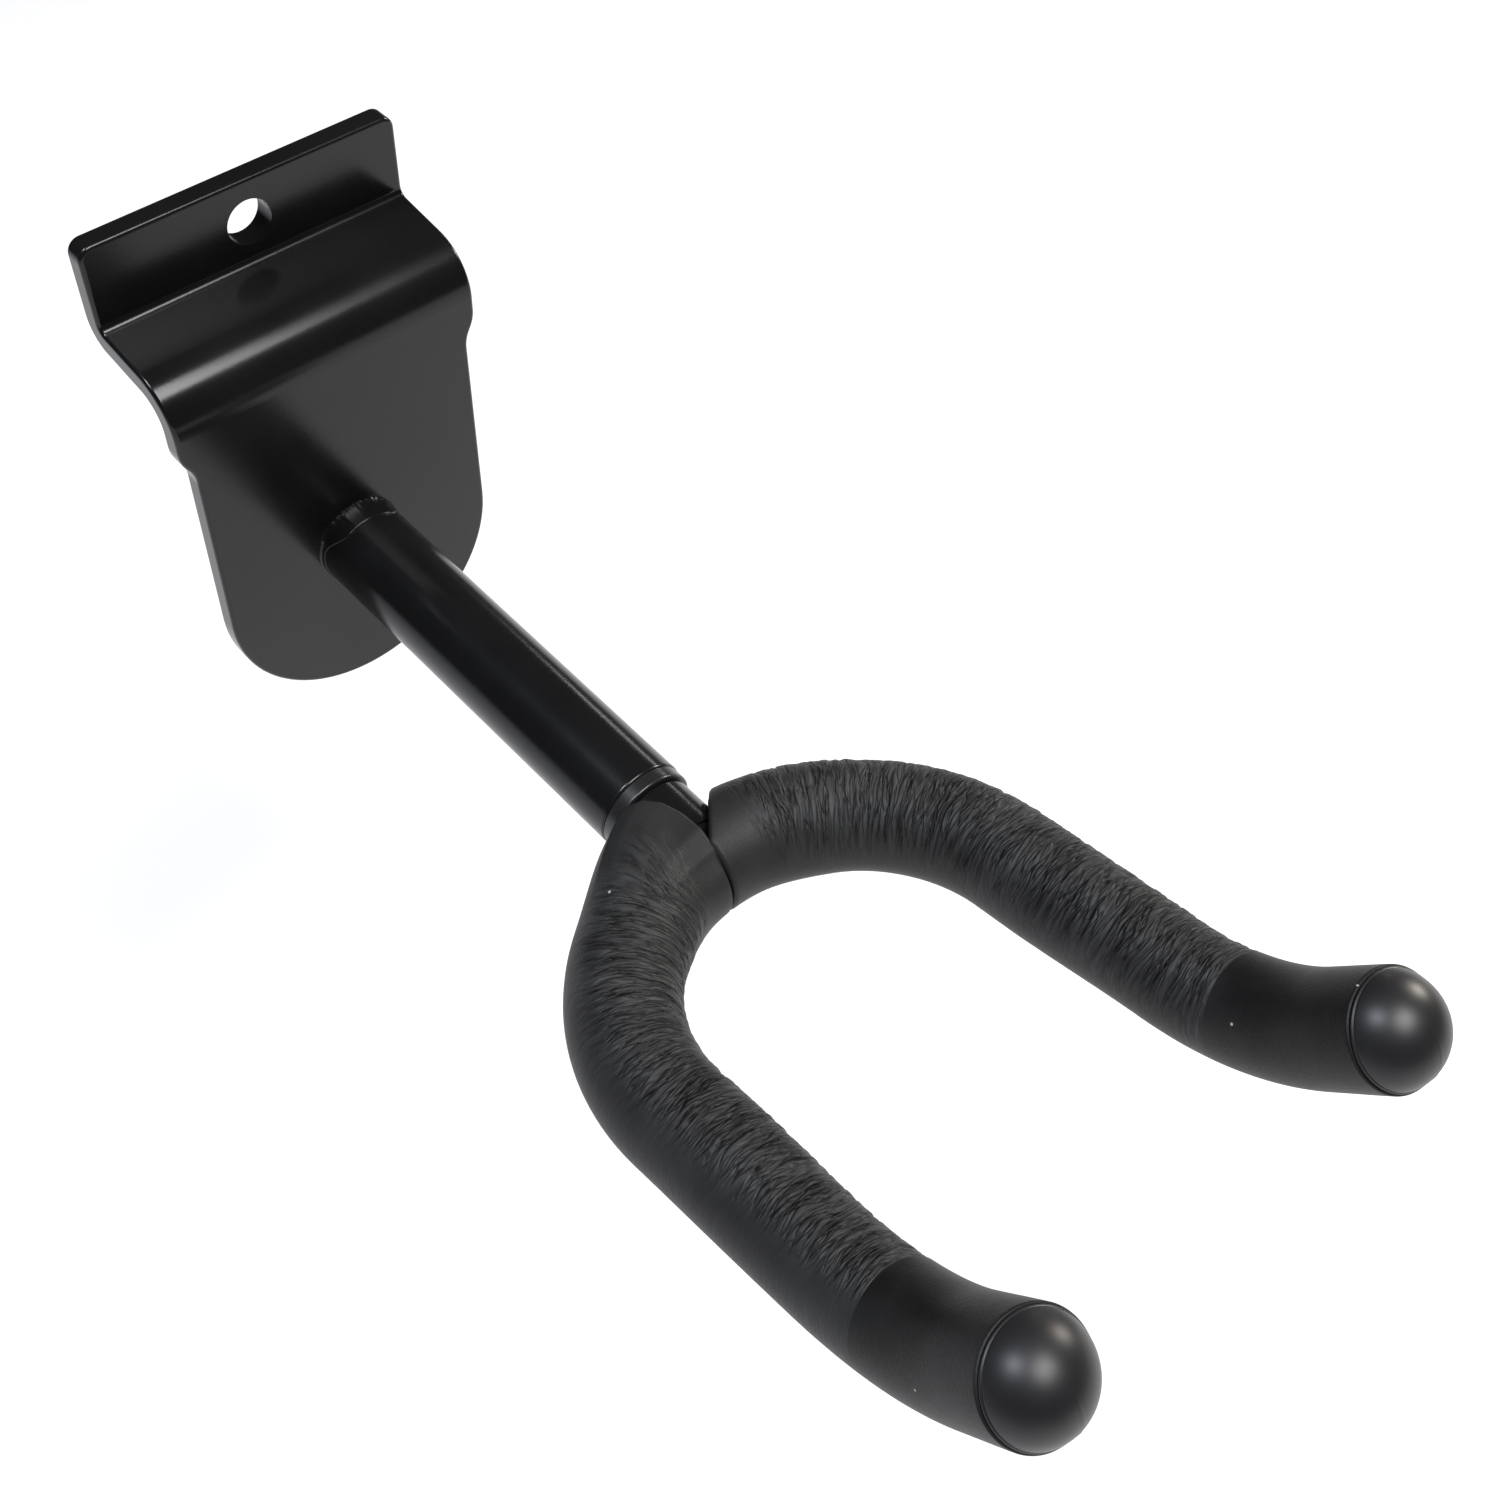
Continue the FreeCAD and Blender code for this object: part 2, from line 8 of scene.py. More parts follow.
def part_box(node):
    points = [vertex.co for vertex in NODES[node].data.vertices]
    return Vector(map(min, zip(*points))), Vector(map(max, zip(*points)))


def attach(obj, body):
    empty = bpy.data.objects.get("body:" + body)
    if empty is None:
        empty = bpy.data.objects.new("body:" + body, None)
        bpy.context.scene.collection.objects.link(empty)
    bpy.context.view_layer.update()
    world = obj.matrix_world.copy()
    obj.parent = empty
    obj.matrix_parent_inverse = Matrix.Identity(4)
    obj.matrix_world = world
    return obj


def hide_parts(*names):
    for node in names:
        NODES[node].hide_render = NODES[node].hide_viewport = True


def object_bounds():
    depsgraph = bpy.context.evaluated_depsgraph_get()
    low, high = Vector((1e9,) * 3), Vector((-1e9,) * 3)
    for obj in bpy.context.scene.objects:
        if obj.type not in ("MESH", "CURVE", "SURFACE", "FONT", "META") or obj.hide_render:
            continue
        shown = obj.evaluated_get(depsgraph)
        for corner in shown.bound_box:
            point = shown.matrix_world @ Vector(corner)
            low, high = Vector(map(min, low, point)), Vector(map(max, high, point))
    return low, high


bl_info = {
    "name": "Wall Guitar Hanger",
    "version": (1, 0, 0),
    "blender": (4, 5, 0),
    "location": "View3D > Sidebar > Guitar Hanger",
    "description": "Finishes a wall guitar hanger: wrinkled foam sleeves, rubber caps, powder coat and stage",
    "category": "Mesh",
}

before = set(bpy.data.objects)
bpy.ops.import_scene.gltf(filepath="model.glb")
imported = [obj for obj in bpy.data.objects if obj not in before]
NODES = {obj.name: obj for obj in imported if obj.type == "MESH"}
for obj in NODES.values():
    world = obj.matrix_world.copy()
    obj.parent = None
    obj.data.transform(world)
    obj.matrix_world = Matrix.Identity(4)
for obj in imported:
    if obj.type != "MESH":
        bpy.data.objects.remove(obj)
CAD_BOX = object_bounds()

MM = 0.001
CM = 0.01
ROD_RADIUS = 4 * MM
SIDES = {"right": 1, "left": -1}


# --- settings --------------------------------------------------------------------------------


class HangerYokeSettings(bpy.types.PropertyGroup):
    """The line that the yoke's rod follows, and the sleeves on it."""

    back_radius: bpy.props.FloatProperty(
        name="Back radius", description="Bend radius of the yoke's back, at the rod's centre",
        default=33.8 * MM, unit="LENGTH")
    arm_straight: bpy.props.FloatProperty(
        name="Arm straight", description="Straight stretch of each arm",
        default=30.6 * MM, unit="LENGTH")
    tip_radius: bpy.props.FloatProperty(
        name="Tip radius", description="Bend radius of the upturned tips",
        default=39 * MM, unit="LENGTH")
    tip_angle: bpy.props.FloatProperty(
        name="Tip angle", description="Upward turn of the tips",
        default=math.radians(42.6), subtype="ANGLE")
    tip_straight: bpy.props.FloatProperty(
        name="Tip straight", description="Straight stretch of each tip, up to the cap's centre",
        default=8.6 * MM, unit="LENGTH")
    pitch: bpy.props.FloatProperty(
        name="Pitch", description="Upward tilt of the yoke",
        default=math.radians(9.7), subtype="ANGLE")
    sleeve_radius: bpy.props.FloatProperty(
        name="Sleeve radius", description="Sleeve radius in the middle of the arm",
        default=8.5 * MM, unit="LENGTH")
    meet_gap: bpy.props.FloatProperty(
        name="Meeting gap", description="Half the gap where the sleeves meet",
        default=0.12 * MM, unit="LENGTH")
    meet_shift: bpy.props.FloatProperty(
        name="Meeting shift", description="How far the sleeves meet to the left of the middle",
        default=0.8 * MM, unit="LENGTH")
    lean_start: bpy.props.FloatProperty(
        name="Lean start", description="Where the ends start to lean, in front of the rod",
        default=4.2 * MM, unit="LENGTH")
    end_lean: bpy.props.FloatProperty(
        name="End lean", description="Lean of the sleeves' ends beside the stem",
        default=math.radians(38), subtype="ANGLE")
    hood: bpy.props.FloatProperty(
        name="Hood", description="How far the left sleeve is pushed over the stem, 0 to 1",
        default=1.0, min=0, max=1, subtype="FACTOR")
    crease_depth: bpy.props.FloatProperty(
        name="Crease depth", description="Depth of the large cross wrinkles",
        default=0.27 * MM, unit="LENGTH")
    fine_crease_depth: bpy.props.FloatProperty(
        name="Fine crease depth", description="Depth of the small cross wrinkles",
        default=0.12 * MM, unit="LENGTH")


class HangerCapSettings(bpy.types.PropertyGroup):
    """The domed caps on the tips."""

    radius: bpy.props.FloatProperty(
        name="Radius", description="Radius of the dome",
        default=8.42 * MM, unit="LENGTH")
    base: bpy.props.FloatProperty(
        name="Base", description="Cap's base in front of the dome's centre",
        default=2.4 * MM, unit="LENGTH")


class HangerWeldSettings(bpy.types.PropertyGroup):
    """The bead that joins the tube to the bracket."""

    top_leg: bpy.props.FloatProperty(
        name="Top leg", description="Bead along the top of the tube",
        default=4.2 * MM, unit="LENGTH")
    top_foot: bpy.props.FloatProperty(
        name="Top foot", description="Bead up the bracket above the tube",
        default=0.7 * MM, unit="LENGTH")
    side_leg: bpy.props.FloatProperty(
        name="Side leg", description="Bead along the sides and the bottom of the tube",
        default=0.9 * MM, unit="LENGTH")
    side_foot: bpy.props.FloatProperty(
        name="Side foot", description="Bead out along the bracket beside the tube",
        default=0.4 * MM, unit="LENGTH")
    toe_lip: bpy.props.FloatProperty(
        name="Toe lip", description="Height of the raised edge at the bead's front",
        default=0.25 * MM, unit="LENGTH")


class HangerFinishSettings(bpy.types.PropertyGroup):
    """Colours and gloss of the finishes."""

    coat_colour: bpy.props.FloatVectorProperty(
        name="Powder coat", description="Colour of the powder coat",
        size=3, subtype="COLOR", min=0, max=1, default=(0.0055, 0.0056, 0.0058))
    coat_roughness: bpy.props.FloatProperty(
        name="Coat roughness", description="Roughness of the powder coat",
        default=0.19, min=0, max=1, subtype="FACTOR")
    foam_colour: bpy.props.FloatVectorProperty(
        name="Foam", description="Colour of the foam rubber",
        size=3, subtype="COLOR", min=0, max=1, default=(0.0165, 0.0166, 0.0167))
    foam_relief: bpy.props.FloatProperty(
        name="Foam relief", description="Height of the finest cross creases",
        default=0.20 * MM, unit="LENGTH")
    cap_colour: bpy.props.FloatVectorProperty(
        name="Caps", description="Colour of the caps' rubber",
        size=3, subtype="COLOR", min=0, max=1, default=(0.010, 0.010, 0.011))
    steel_colour: bpy.props.FloatVectorProperty(
        name="Steel", description="Colour of the bare steel",
        size=3, subtype="COLOR", min=0, max=1, default=(0.46, 0.45, 0.44))


class HangerStageSettings(bpy.types.PropertyGroup):
    """Floor, lights and camera."""

    floor_drop: bpy.props.FloatProperty(
        name="Floor drop", description="Floor below the object's lowest point",
        default=0.16, unit="LENGTH")
    camera_azimuth: bpy.props.FloatProperty(
        name="Camera azimuth", description="Camera's side; zero looks along +Y",
        default=math.radians(-44.8), subtype="ANGLE")
    camera_elevation: bpy.props.FloatProperty(
        name="Camera elevation", description="Camera's height angle",
        default=math.radians(51.7), subtype="ANGLE")
    camera_roll: bpy.props.FloatProperty(
        name="Camera roll", description="Camera's turn about its own axis",
        default=math.radians(3.5), subtype="ANGLE")
    camera_distance: bpy.props.FloatProperty(
        name="Camera distance", description="Camera to the point it looks at",
        default=0.349, unit="LENGTH")
    camera_target: bpy.props.FloatVectorProperty(
        name="Camera target", description="Point that the camera looks at",
        size=3, subtype="TRANSLATION", default=(0.0379, -0.0647, -0.0326))
    camera_lens: bpy.props.FloatProperty(
        name="Camera lens", description="Focal length in millimetres on a 36 mm sensor",
        default=45.38)


# --- modelling helpers -----------------------------------------------------------------------


def select_only(piece):
    for other in bpy.context.selected_objects:
        other.select_set(False)
    piece.select_set(True)
    bpy.context.view_layer.objects.active = piece


def finish_piece(piece, name, material, body):
    """Name a piece, put its place into its mesh, and tie it to its material and body."""
    select_only(piece)
    piece.name = name
    piece.data.name = name
    bpy.ops.object.transform_apply(location=True, rotation=True, scale=True)
    piece.data.materials.clear()
    piece.data.materials.append(material)
    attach(piece, body)
    return piece


def grid_piece(rows, columns, place, mark=None):
    """A closed skin from a grid: place(row, column) gives each vertex, mark(piece) may add
    attributes, and then the grid's edges that come together are merged."""
    bpy.ops.mesh.primitive_grid_add(x_subdivisions=columns, y_subdivisions=rows, size=1)
    piece = bpy.context.active_object
    piece.location = (0, 0, 0)
    stride = columns + 1
    for index, vertex in enumerate(piece.data.vertices):
        vertex.co = place(index // stride, index % stride)
    if mark:
        mark(piece)
    bpy.ops.object.mode_set(mode="EDIT")
    bpy.ops.mesh.select_all(action="SELECT")
    bpy.ops.mesh.remove_doubles(threshold=1e-6)
    bpy.ops.mesh.normals_make_consistent(inside=False)
    bpy.ops.object.mode_set(mode="OBJECT")
    bpy.ops.object.shade_smooth()
    return piece


def smooth_step(low, high, value):
    share = min(max((value - low) / (high - low), 0.0), 1.0)
    return share * share * (3 - 2 * share)


# --- the yoke's line -------------------------------------------------------------------------


class YokeLine:
    """Centre line of one arm, by distance from the middle of the yoke's back."""

    def __init__(self, yoke, side):
        self.yoke = yoke
        self.side = side
        self.back = yoke.back_radius * math.pi / 2
        self.bend = yoke.tip_radius * yoke.tip_angle
        self.length = self.back + yoke.arm_straight + self.bend + yoke.tip_straight
        rod_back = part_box("yoke_rod")[1].y
        middle = Vector((0, rod_back - ROD_RADIUS, 0))
        tilt = Matrix.Rotation(-yoke.pitch, 4, "X")
        self.to_frame = Matrix.Translation(middle) @ tilt

    def flat(self, distance):
        """Point, tangent, outward and upward directions, with the yoke lying flat and its
        arms along -Y."""
        yoke = self.yoke
        if distance <= self.back:
            angle = distance / yoke.back_radius
            outward = Vector((math.sin(angle), math.cos(angle), 0))
            tangent = Vector((math.cos(angle), -math.sin(angle), 0))
            centre = Vector((0, -yoke.back_radius, 0))
            return centre + outward * yoke.back_radius, tangent, outward, Vector((0, 0, 1))
        outward = Vector((1, 0, 0))
        point = Vector((yoke.back_radius, -yoke.back_radius, 0))
        beyond = distance - self.back
        if beyond <= yoke.arm_straight:
            return point + Vector((0, -beyond, 0)), Vector((0, -1, 0)), outward, Vector((0, 0, 1))
        point.y -= yoke.arm_straight
        beyond -= yoke.arm_straight
        angle = min(beyond / yoke.tip_radius, yoke.tip_angle)
        tangent = Vector((0, -math.cos(angle), math.sin(angle)))
        upward = Vector((0, math.sin(angle), math.cos(angle)))
        point += Vector((0, -math.sin(angle), 1 - math.cos(angle))) * yoke.tip_radius
        return point + tangent * max(beyond - self.bend, 0), tangent, outward, upward

    def at(self, distance, radius, angle):
        """Point in the frame: angle 0 is outward, 90 degrees up, 180 degrees inward."""
        point, _, outward, upward = self.flat(distance)
        place = point + (outward * math.cos(angle) + upward * math.sin(angle)) * radius
        place.x *= self.side
        return self.to_frame @ place


# --- foam sleeves ----------------------------------------------------------------------------


# The last part of each sleeve, which has no wrinkles.
SMOOTH_TIP = 27.6 * MM

# Distance along the arm, and radius as a share of the sleeve's radius.
SLEEVE_TAPER = ((0, 1.06), (12, 1.06), (30, 1.015), (60, 1.0), (90, 0.97), (110, 0.97), (124, 0.985))

# How far the leaning end and the hood reach along the sleeve before the plain round skin.
LEAN_REACH, HOOD_REACH = 26 * MM, 19 * MM
# Between these distances the skin swells on the inner side and draws in on the outer side.
BULGE_RISE, BULGE_FALL = (6 * MM, 22 * MM), (58 * MM, 84 * MM)
BULGE_ALL, BULGE_INNER = 0.2 * MM, 0.42 * MM
# Angles round the sleeve, in degrees, where its wrinkled side starts and stops.
WRINKLED_SIDE = {"right": ((-45, 5), (125, 190)), "left": ((38, 85), (225, 275))}
# Wrinkles start here along the sleeve, and this much later on the outside of the left one.
WRINKLE_START, WRINKLE_LATER = (8 * MM, 17 * MM), 9 * MM
WRINKLE_EDGE = 0.7 * MM

# Rim of the left sleeve, which is pushed over the stem's head: degrees round the rod from
# straight back, then x, y and z from the rod's middle.
HOOD_RIM = (
    (0, -8.4, 10.4, 1.2),
    (22, -7.2, 11.2, 4.8),
    (45, -5.4, 11.4, 7.1),
    (62, -3.7, 10.2, 8.2),
    (78, -2.1, 7.6, 8.9),
    (92, -1.2, 4.0, 9.2),
    (106, -0.9, -0.2, 9.3),
    (124, -0.9, -3.8, 7.9),
    (150, -0.9, -6.8, 4.4),
    (180, -0.9, -7.8, 0.2),
)


def blend_table(table, key):
    """Read a table of rows that start with a rising key, in straight lines between rows."""
    if key <= table[0][0]:
        return Vector(table[0][1:])
    for first, last in zip(table, table[1:]):
        if key <= last[0]:
            share = (key - first[0]) / (last[0] - first[0])
            return Vector(first[1:]).lerp(Vector(last[1:]), share)
    return Vector(table[-1][1:])


def taper_radius(yoke, distance):
    row = [pair for pair in zip(SLEEVE_TAPER, SLEEVE_TAPER[1:]) if distance / MM <= pair[1][0]]
    (first, start), (last, end) = row[0] if row else SLEEVE_TAPER[-2:]
    share = smooth_step(first, last, distance / MM)
    return yoke.sleeve_radius * (start + (end - start) * share)


def crease(coordinates, width):
    """1 in the bottom of a crease, 0 away from it: creases run where the noise crosses zero."""
    return max(1 - abs(noise.noise(coordinates)) / width, 0.0)


def wrinkled_share(line, distance, angle):
    """1 where the sleeve is fully wrinkled, between its smooth ends. The right sleeve is
    wrinkled on top and outside, the left one on top and inside."""
    around = (math.degrees(angle) + 60) % 360 - 60
    rise, fall = WRINKLED_SIDE["right" if line.side > 0 else "left"]
    share = smooth_step(*rise, around) * (1 - smooth_step(*fall, around))
    late = WRINKLE_LATER * max(math.cos(angle), 0) if line.side < 0 else 0
    start = smooth_step(*WRINKLE_START, distance - late + 2.5 * MM * math.sin(angle))
    end = 1 - smooth_step(line.wrinkle_end - WRINKLE_EDGE, line.wrinkle_end, distance)
    return start * end * (0.06 + 0.94 * share)


def wrinkle_depth(yoke, side, distance, angle, seed):
    """How far a fully wrinkled skin lies under the smooth surface, from large creases and
    fine ones."""
    x, y = math.cos(angle), math.sin(angle)
    along = distance / MM + side * 2.6 * x * smooth_step(15 * MM, 70 * MM, distance)
    sway = noise.noise(Vector((along / 9, x * 1.1, y * 1.1 + seed)))
    slant = angle * 0.8
    large = crease(Vector(((along + sway) / 2.7 + seed, x * 0.9, y * 0.9)), 0.20)
    small = crease(Vector(((along + sway + slant) / 1.35, x + seed, y)), 0.30)
    cross = crease(Vector(((along + sway - slant) / 1.6, x * 1.1, y * 1.1 - seed)), 0.28)
    vary = 0.35 + 1.2 * abs(noise.noise(Vector((along / 8 + seed, x * 1.6, y * 1.6))))
    fine = max(small, 0.8 * cross)
    return yoke.crease_depth * large ** 1.2 * vary + yoke.fine_crease_depth * fine


class SleeveShape:
    """Places the points of one sleeve's closed skin."""

    face_rows, rim_rows, outer_rows, tip_rows, bore_rows = 8, 6, 440, 5, 40
    columns = 160
    rim_round, tip_round = 1.0 * MM, 0.35 * MM
    bore = ROD_RADIUS + 0.08 * MM

    def __init__(self, yoke, caps, side_name):
        self.yoke = yoke
        self.line = YokeLine(yoke, SIDES[side_name])
        self.finish = self.line.length + caps.base
        self.line.wrinkle_end = self.finish - SMOOTH_TIP
        self.seed = 3.7 if side_name == "right" else 11.3
        self.hooded = side_name == "left"
        self.middle = self.line.to_frame.translation
        self.stem_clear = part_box("swivel_stem")[1].x + 0.12 * MM
        self.rows = [("face", i / self.face_rows) for i in range(self.face_rows)]
        self.rows += [("rim", i / self.rim_rows) for i in range(self.rim_rows)]
        self.rows += [("outer", i / self.outer_rows) for i in range(self.outer_rows)]
        self.rows += [("tip", i / self.tip_rows) for i in range(self.tip_rows + 1)]
        self.rows += [("bore", i / self.bore_rows) for i in range(1, self.bore_rows + 1)]

    def start(self, radius, angle):
        """Distance at which the leaning end cuts the round back, at this radius and angle."""
        yoke = self.yoke
        reach = yoke.back_radius + radius * math.cos(angle)
        turn = 0.0
        for _ in range(6):
            depth = reach * math.cos(turn) - yoke.back_radius
            gap = yoke.meet_gap - yoke.meet_shift * self.line.side
            gap += max(depth + yoke.lean_start, 0) * math.tan(yoke.end_lean)
            turn = math.asin(min(gap / reach, 0.9))
        return yoke.back_radius * turn

    def hood_shift(self, angle):
        """From the plain rim to the hood's rim, in the frame. It fades away below the rod."""
        around = math.degrees(angle) % 360
        around = around - 360 if around > 250 else around
        window = smooth_step(-75, -5, around) * (1 - smooth_step(112, 165, around))
        if window == 0:
            return Vector((0, 0, 0))
        rim = blend_table(HOOD_RIM, abs(around)) * MM
        if around < 0:
            rim.z = -rim.z
        return (self.middle + rim - self.plain_rim(angle)) * window * self.yoke.hood

    def plain_rim(self, angle):
        radius = taper_radius(self.yoke, 0)
        return self.line.at(self.start(radius, angle) + self.rim_round, radius, angle)

    def place(self, row, column):
        kind, share = self.rows[row]
        angle = 2 * math.pi * column / self.columns
        full = taper_radius(self.yoke, 0)
        rim_start = self.start(full, angle)
        if kind == "face":
            radius = self.bore + (full - self.rim_round - self.bore) * share
            point = self.line.at(self.start(radius, angle), radius, angle)
            weight = share
        elif kind == "rim":
            turn = share * math.pi / 2
            radius = full - self.rim_round * (1 - math.sin(turn))
            point = self.line.at(rim_start + self.rim_round * (1 - math.cos(turn)), radius, angle)
            weight = 1.0
        elif kind == "outer":
            travel, distance = self.outer_distance(share, rim_start)
            point = self.line.at(distance, self.outer_radius(distance, angle), angle)
            weight = (1 - smooth_step(0, HOOD_REACH, travel)) ** 1.4
        elif kind == "tip":
            turn = share * math.pi / 2
            radius = taper_radius(self.yoke, self.finish) - self.tip_round * (1 - math.cos(turn))
            distance = self.finish - self.tip_round * (1 - math.sin(turn))
            return self.line.at(distance, radius, angle)
        else:
            first = self.start(self.bore, angle)
            return self.line.at(self.finish + (first - self.finish) * share, self.bore, angle)
        if self.hooded and weight > 0:
            point = point + self.hood_shift(angle) * weight
        return self.clear_stem(point)

    def outer_distance(self, share, rim_start):
        """Way from the rim, and distance from the middle, at a share of the outer skin."""
        travel = (self.finish - self.rim_round - self.tip_round) * share
        slide = rim_start * (1 - smooth_step(0, LEAN_REACH, travel))
        return travel, self.rim_round + travel + slide

    def outer_radius(self, distance, angle):
        """Radius of the outer skin, with its wrinkles and the bulge of the back bend."""
        radius = taper_radius(self.yoke, distance)
        amount = wrinkled_share(self.line, distance, angle)
        if amount > 0.001:
            radius -= amount * wrinkle_depth(self.yoke, self.line.side, distance, angle, self.seed)
        bulge = smooth_step(*BULGE_RISE, distance) * (1 - smooth_step(*BULGE_FALL, distance))
        return radius + bulge * (BULGE_ALL - BULGE_INNER * math.cos(angle))

    def clear_stem(self, point):
        """Push a point out of the stem's head, straight away from its axis."""
        away = Vector((point.x, 0, point.z))
        if point.y > self.middle.y - 0.8 * MM and 0 < away.length < self.stem_clear:
            if away.x * self.line.side < 0:
                away.x = 0
            point = point + away.normalized() * (self.stem_clear - away.length)
        return point

    def skin_coordinates(self, row, column):
        """Distance along and round the sleeve, in millimetres, and the wrinkled share."""
        kind, share = self.rows[row]
        if kind != "outer":
            return (0.0 if kind in ("face", "rim") else self.finish / MM), 0.0, 0.0
        angle = 2 * math.pi * column / self.columns
        rim_start = self.start(taper_radius(self.yoke, 0), angle)
        distance = self.outer_distance(share, rim_start)[1]
        amount = wrinkled_share(self.line, distance, angle)
        return distance / MM, angle * self.yoke.sleeve_radius / MM, amount


def add_skin_attributes(piece, shape):
    """A UV map in centimetres along and round the sleeve, and where it is wrinkled."""
    mesh = piece.data
    along = mesh.uv_layers.new(name="skin")
    amounts = mesh.attributes.new("wrinkled", "FLOAT", "POINT")
    stride = shape.columns + 1
    facts = [shape.skin_coordinates(i // stride, i % stride) for i in range(len(mesh.vertices))]
    for index, fact in enumerate(facts):
        amounts.data[index].value = fact[2]
    for loop in mesh.loops:
        distance, around, _ = facts[loop.vertex_index]
        along.data[loop.index].uv = (distance / 10, around / 10)


def build_sleeve(yoke, caps, side_name, material):
    shape = SleeveShape(yoke, caps, side_name)
    piece = grid_piece(len(shape.rows) - 1, shape.columns, shape.place,
                       lambda skin: add_skin_attributes(skin, shape))
    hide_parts(f"foam_sleeve_{side_name}")
    finish_piece(piece, f"wrinkled_sleeve_{side_name}", material, "yoke")
    return piece


class HANGER_OT_foam_sleeves(bpy.types.Operator):
    """Make the two wrinkled foam sleeves"""

    bl_idname = "hanger.foam_sleeves"
    bl_label = "Foam Sleeves"

    def execute(self, context):
        scene = context.scene
        line = YokeLine(scene.hanger_yoke, SIDES["right"])
        # Where the foam's smooth tip starts; the foam material paints it darker as painted shade.
        tip_start = line.length + scene.hanger_caps.base - SMOOTH_TIP
        material = foam_material(scene.hanger_finish, tip_start / CM)
        for side_name in SIDES:
            build_sleeve(scene.hanger_yoke, scene.hanger_caps, side_name, material)
        return {"FINISHED"}


# --- end caps --------------------------------------------------------------------------------


def build_cap(yoke, caps, side_name, material):
    """A dome on a rounded base, with a faint moulding line on its underside."""
    line = YokeLine(yoke, SIDES[side_name])
    bpy.ops.mesh.primitive_uv_sphere_add(segments=96, ring_count=64, radius=caps.radius)
    piece = bpy.context.active_object
    base_round, rim_height = 0.3 * MM, 0.35 * MM
    cut = caps.base + base_round + rim_height
    bpy.ops.object.mode_set(mode="EDIT")
    bpy.ops.mesh.select_all(action="SELECT")
    bpy.ops.mesh.bisect(plane_co=(0, 0, cut), plane_no=(0, 0, 1), clear_inner=True)
    bpy.ops.mesh.select_all(action="DESELECT")
    mesh = bmesh.from_edit_mesh(piece.data)
    for edge in mesh.edges:
        edge.select = edge.is_boundary
    mesh.select_flush_mode()
    bmesh.update_edit_mesh(piece.data)
    rim = math.sqrt(caps.radius ** 2 - cut ** 2)
    lip = math.sqrt(caps.radius ** 2 - caps.base ** 2)
    steps = [(cut - 0.06 * MM, rim - 0.05 * MM), (cut - 0.12 * MM, rim + 0.02 * MM),
             (cut - 0.2 * MM, lip - 0.06 * MM), (caps.base + base_round, lip)]
    steps += [(caps.base + base_round * (1 - math.sin(turn)), lip - base_round * (1 - math.cos(turn)))
              for turn in (math.pi / 6, math.pi / 3, math.pi / 2)]
    height, width = cut, rim
    for next_height, next_width in steps:
        bpy.ops.mesh.extrude_edges_move(
            TRANSFORM_OT_translate={"value": (0, 0, next_height - height)})
        grow = next_width / width
        bpy.ops.transform.resize(value=(grow, grow, 1))
        height, width = next_height, next_width
    bpy.ops.mesh.edge_face_add()
    bpy.ops.mesh.inset(thickness=2 * MM)
    bpy.ops.mesh.select_all(action="SELECT")
    bpy.ops.mesh.normals_make_consistent(inside=False)
    bpy.ops.object.mode_set(mode="OBJECT")
    bpy.ops.object.shade_smooth()

    seam_half, seam_height = 0.25 * MM, 0.05 * MM
    for vertex in piece.data.vertices:
        if vertex.co.z > cut:
            below = smooth_step(0.0, 0.5, -vertex.co.y * line.side / caps.radius)
            rise = seam_height * max(1 - abs(vertex.co.x) / seam_half, 0.0) * below
            vertex.co += vertex.co.normalized() * rise

    point, tangent, outward, _ = line.flat(line.length)
    outward = outward * line.side
    point.x *= line.side
    turn = Matrix((outward, tangent.cross(outward), tangent)).transposed()
    piece.matrix_world = line.to_frame @ Matrix.Translation(point) @ turn.to_4x4()
    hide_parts(f"end_cap_{side_name}")
    return finish_piece(piece, f"domed_cap_{side_name}", material, "yoke")


class HANGER_OT_end_caps(bpy.types.Operator):
    """Make the two domed rubber caps"""

    bl_idname = "hanger.end_caps"
    bl_label = "End Caps"

    def execute(self, context):
        scene = context.scene
        material = cap_material(scene.hanger_finish)
        for side_name in SIDES:
            build_cap(scene.hanger_yoke, scene.hanger_caps, side_name, material)
        NODES["friction_ring"].data.materials[0] = material
        return {"FINISHED"}


# --- weld bead -------------------------------------------------------------------------------


def build_weld(weld, material):
    """A fillet bead round the tube's foot, long on top of the tube and thin below it."""
    tube_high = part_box("arm_tube")[1]
    tube_radius, face = tube_high.x, tube_high.y
    steps, columns = 14, 192
    sunk = 0.25 * MM

    def place(row, column):
        angle = 2 * math.pi * column / columns
        around = (math.degrees(angle) + 90) % 360 - 90
        top = smooth_step(10, 60, around) * (1 - smooth_step(120, 165, around))
        ripple = 1 + 0.10 * math.sin(angle * 44) + 0.08 * math.sin(angle * 17 + 1)
        leg = weld.side_leg + (weld.top_leg - weld.side_leg) * top
        foot = (weld.side_foot + (weld.top_foot - weld.side_foot) * top) * ripple
        lip = weld.toe_lip * (0.3 + 0.7 * top)
        share = row / steps
        if share <= 1:
            out = lip * (0.7 + 0.3 * ripple) + (foot - lip) * (1 - share) ** 4
            return bead_point(angle, out, face - leg * share)
        toe = leg + 0.14 * MM
        out, depth = ((lip * 0.75, leg + 0.10 * MM), (0, toe), (-sunk, toe), (-sunk, 0.0),
                      (foot, 0.0))[row - steps - 1]
        return bead_point(angle, out, face - depth)

    def bead_point(angle, out, depth):
        radius = tube_radius + out
        return Vector((radius * math.cos(angle), depth, radius * math.sin(angle)))

    piece = grid_piece(steps + 5, columns, place)
    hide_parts("tube_weld")
    return finish_piece(piece, "weld_bead", material, "hanger_frame")


